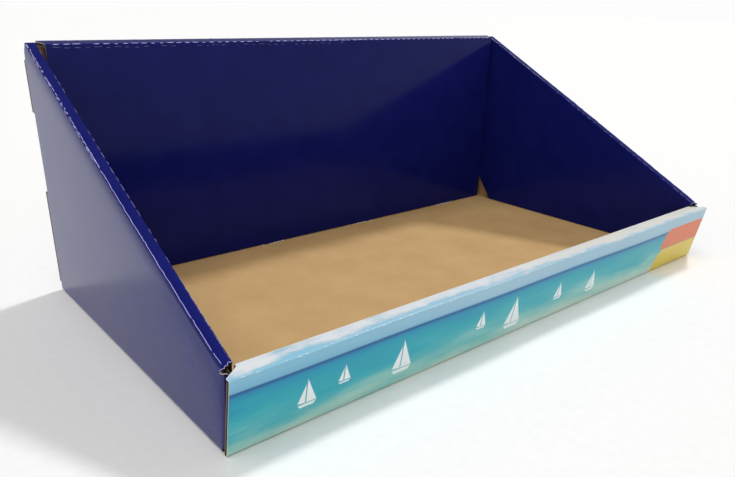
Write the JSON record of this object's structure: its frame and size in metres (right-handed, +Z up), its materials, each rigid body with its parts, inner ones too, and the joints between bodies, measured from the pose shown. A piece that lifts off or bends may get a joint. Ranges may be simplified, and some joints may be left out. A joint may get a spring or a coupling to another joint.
{
  "type": "cardboard display stand",
  "caption": "Open display tray folded from one sheet of corrugated board, with a tall back, sloping sides and a low leaning front, for showing goods on a shelf or counter.",
  "frame": {"origin": "under the middle of the tray, on the surface that it stands on", "axes": "+X along the front from left to right, +Y from the front to the back, +Z up"},
  "size_m": [0.6, 0.3256, 0.2229],
  "materials": {
    "printed_board": "gloss-coated dark blue print outside, bare kraft inside, a sea and sky print on the front"
  },
  "bodies": {
    "root": {"folded_tray": "printed_board"}
  },
  "joints": []
}
